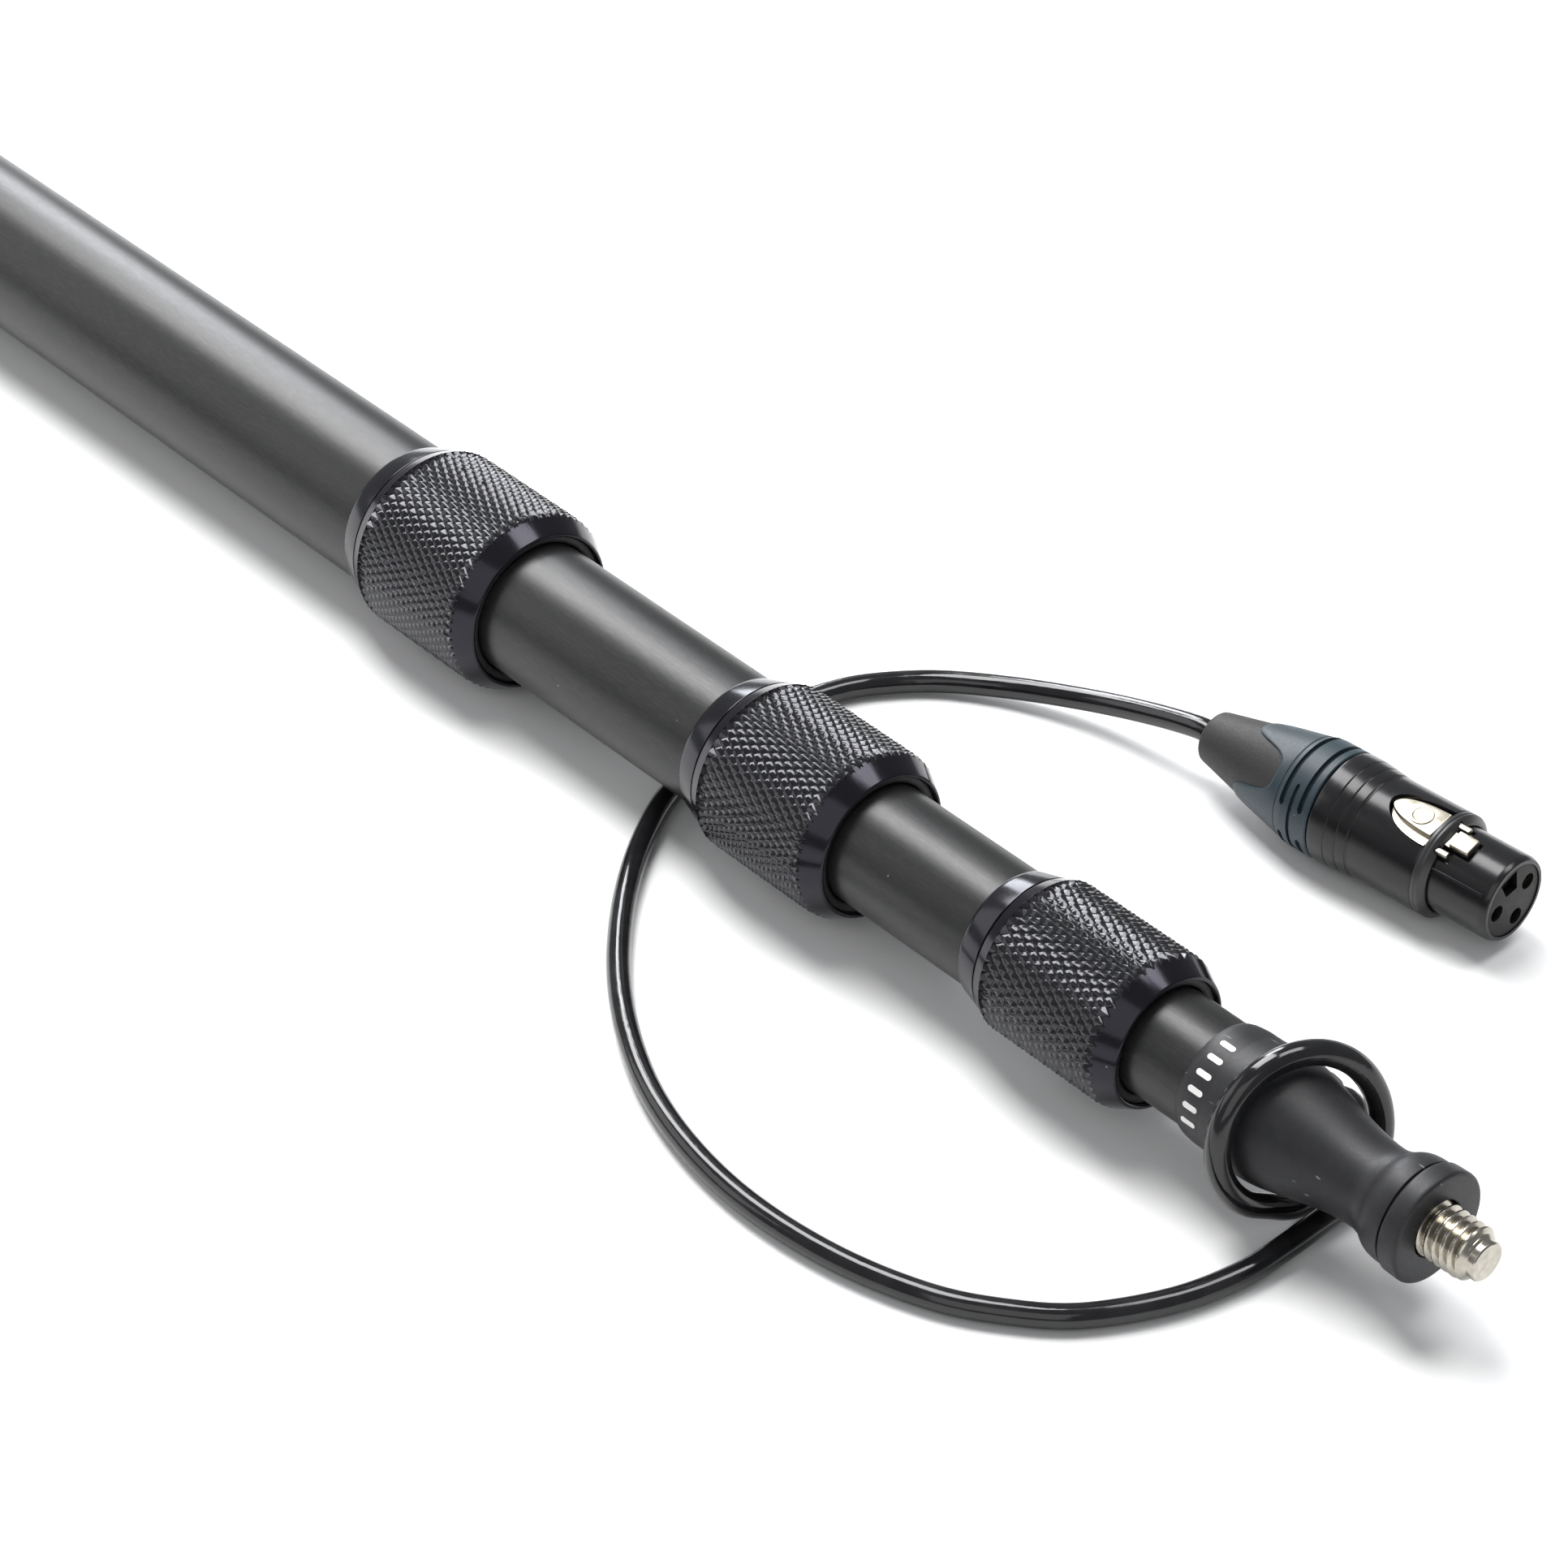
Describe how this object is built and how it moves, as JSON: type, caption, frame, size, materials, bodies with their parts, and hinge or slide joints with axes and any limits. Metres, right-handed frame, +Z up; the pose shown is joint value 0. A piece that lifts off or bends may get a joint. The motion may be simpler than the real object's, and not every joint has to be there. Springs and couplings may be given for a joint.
{
  "type": "boom pole",
  "caption": "Telescopic microphone boom pole with knurled twist-lock collars, a 3/8-16 stud at the tip, an internal coiled cable and a short lead with a female audio plug.",
  "frame": {"origin": "on the floor below the middle of the pole's length", "axes": "+X along the pole towards its tip, +Z up, the lead's loop towards -Y and its plug towards +Y"},
  "size_m": [0.66, 0.1498, 0.035],
  "materials": {
    "anodised": "satin black anodised",
    "knurled": "glossier black anodised, knurled",
    "tip_black": "matte black",
    "stainless": "bright turned",
    "rubber": "matte black",
    "acetal": "natural white",
    "cord": "glossy black jacket",
    "slate": "dark slate",
    "insert": "matte black",
    "silver": "satin nickel",
    "gold": "gold plated"
  },
  "bodies": {
    "base_section": {"base_tube": "anodised", "ferrule_1": "anodised", "collet_1": "acetal", "end_cap": "anodised", "butt_bumper": "rubber", "output_insert": "insert", "output_pin_1": "silver", "output_pin_2": "silver", "output_pin_3": "silver"},
    "section_2": {"tube_2": "anodised", "guide_bush_2": "acetal", "ferrule_2": "anodised", "collet_2": "acetal"},
    "section_3": {"tube_3": "anodised", "guide_bush_3": "acetal", "ferrule_3": "anodised", "collet_3": "acetal"},
    "tip_section": {"tip_tube": "anodised", "guide_bush_tip": "acetal", "tip_ring": "tip_black", "nose": "tip_black", "mount_disc": "tip_black", "stud": "stainless", "exit_grommet": "rubber", "coiled_cable": "cord", "mic_lead": "cord", "plug_boot": "rubber", "plug_chuck": "acetal", "plug_bushing": "slate", "plug_shell": "anodised", "plug_ring": "rubber", "plug_insert": "insert", "plug_contact_1": "gold", "plug_contact_2": "gold", "plug_contact_3": "gold"},
    "lock_1": {"lock_collar_1": "knurled", "wiper_ring_1": "rubber"},
    "lock_2": {"lock_collar_2": "knurled", "wiper_ring_2": "rubber"},
    "lock_3": {"lock_collar_3": "knurled", "wiper_ring_3": "rubber"},
    "latch": {"plug_latch": "silver"}
  },
  "joints": [
    {"name": "section_2_slide", "type": "slide", "parent": "base_section", "child": "section_2", "axis": [1, 0, 0], "range_m": [0, 0.335], "deforming": ["mic_lead", "coiled_cable"]},
    {"name": "section_3_slide", "type": "slide", "parent": "section_2", "child": "section_3", "axis": [1, 0, 0], "range_m": [0, 0.377], "deforming": ["mic_lead", "coiled_cable"]},
    {"name": "tip_slide", "type": "slide", "parent": "section_3", "child": "tip_section", "axis": [1, 0, 0], "range_m": [0, 0.395], "deforming": ["mic_lead", "coiled_cable"]},
    {"name": "lock_1_twist", "type": "hinge", "parent": "base_section", "child": "lock_1", "pos_m": [0.085, 0, 0.0175], "axis": [1, 0, 0], "range_deg": [0, 120]},
    {"name": "lock_2_twist", "type": "hinge", "parent": "section_2", "child": "lock_2", "pos_m": [0.178, 0, 0.0175], "axis": [1, 0, 0], "range_deg": [0, 120]},
    {"name": "lock_3_twist", "type": "hinge", "parent": "section_3", "child": "lock_3", "pos_m": [0.245, 0, 0.0175], "axis": [1, 0, 0], "range_deg": [0, 120]},
    {"name": "latch_press", "type": "slide", "parent": "tip_section", "child": "latch", "axis": [-0.0153, 0.2244, -0.9744], "range_m": [0, 0.0008], "stiffness_N_per_m": 3000}
  ]
}
